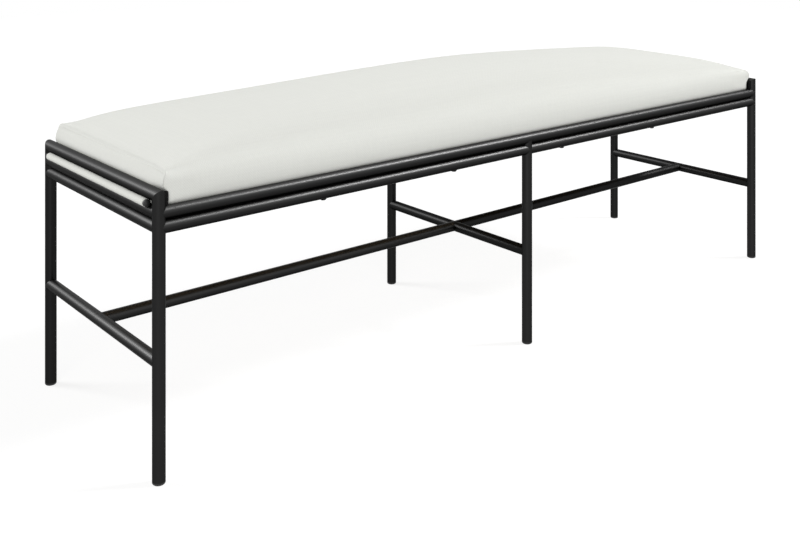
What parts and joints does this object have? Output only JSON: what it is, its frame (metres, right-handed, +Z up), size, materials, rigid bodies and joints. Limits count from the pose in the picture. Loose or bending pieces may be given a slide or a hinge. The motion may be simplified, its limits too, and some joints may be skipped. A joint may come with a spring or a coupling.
{
  "type": "entryway bench",
  "caption": "Long entryway bench: a black round-tube frame with stacked rails and low stretchers carries a crowned off-white cushion held by rods at its ends.",
  "frame": {"origin": "on the floor, under the middle of the bench", "axes": "+X along the bench, -Y to the front that the picture shows, +Z up"},
  "size_m": [1.5118, 0.415, 0.4797],
  "materials": {
    "frame_tube": "matte black powder coat on round steel tube",
    "floor_glide": "moulded black polyethylene, matte",
    "seat_board": "birch plywood, sanded",
    "seat_bolt": "zinc-plated countersunk bolts",
    "seat_fastener": "black-coated washers and dome nuts",
    "cover_fabric": "off-white plain weave, matte",
    "base_fabric": "plain lining cloth",
    "fibre_wrap": "lofted polyester fibre",
    "foam_core": "open-cell upholstery foam",
    "hem_rod": "plain drawn steel rod",
    "rod_cap": "moulded black plastic, satin"
  },
  "bodies": {
    "root": {"cover_base_panel": "base_fabric", "cross_stretcher_left": "frame_tube", "cross_stretcher_middle": "frame_tube", "cross_stretcher_right": "frame_tube", "cushion_cover": "cover_fabric", "dome_nuts": "seat_fastener", "end_rail_lower_left": "frame_tube", "end_rail_lower_right": "frame_tube", "end_rail_middle_left": "frame_tube", "end_rail_middle_right": "frame_tube", "end_rail_upper_left": "frame_tube", "end_rail_upper_right": "frame_tube", "fibre_wrap": "fibre_wrap", "floor_glide_back_left": "floor_glide", "floor_glide_back_middle": "floor_glide", "floor_glide_back_right": "floor_glide", "floor_glide_front_left": "floor_glide", "floor_glide_front_middle": "floor_glide", "floor_glide_front_right": "floor_glide", "foam_core": "foam_core", "hem_rod_caps_left": "rod_cap", "hem_rod_caps_right": "rod_cap", "hem_rod_left": "hem_rod", "hem_rod_right": "hem_rod", "hem_sleeve_left": "cover_fabric", "hem_sleeve_right": "cover_fabric", "leg_back_left": "frame_tube", "leg_back_middle": "frame_tube", "leg_back_right": "frame_tube", "leg_front_left": "frame_tube", "leg_front_middle": "frame_tube", "leg_front_right": "frame_tube", "long_rail_lower_back_left": "frame_tube", "long_rail_lower_back_right": "frame_tube", "long_rail_lower_front_left": "frame_tube", "long_rail_lower_front_right": "frame_tube", "long_rail_upper_back": "frame_tube", "long_rail_upper_front": "frame_tube", "long_stretcher_left": "frame_tube", "long_stretcher_right": "frame_tube", "seat_bearer_1": "frame_tube", "seat_bearer_2": "frame_tube", "seat_bearer_3": "frame_tube", "seat_bearer_4": "frame_tube", "seat_board": "seat_board", "seat_bolts": "seat_bolt", "seat_washers": "seat_fastener"}
  },
  "joints": []
}
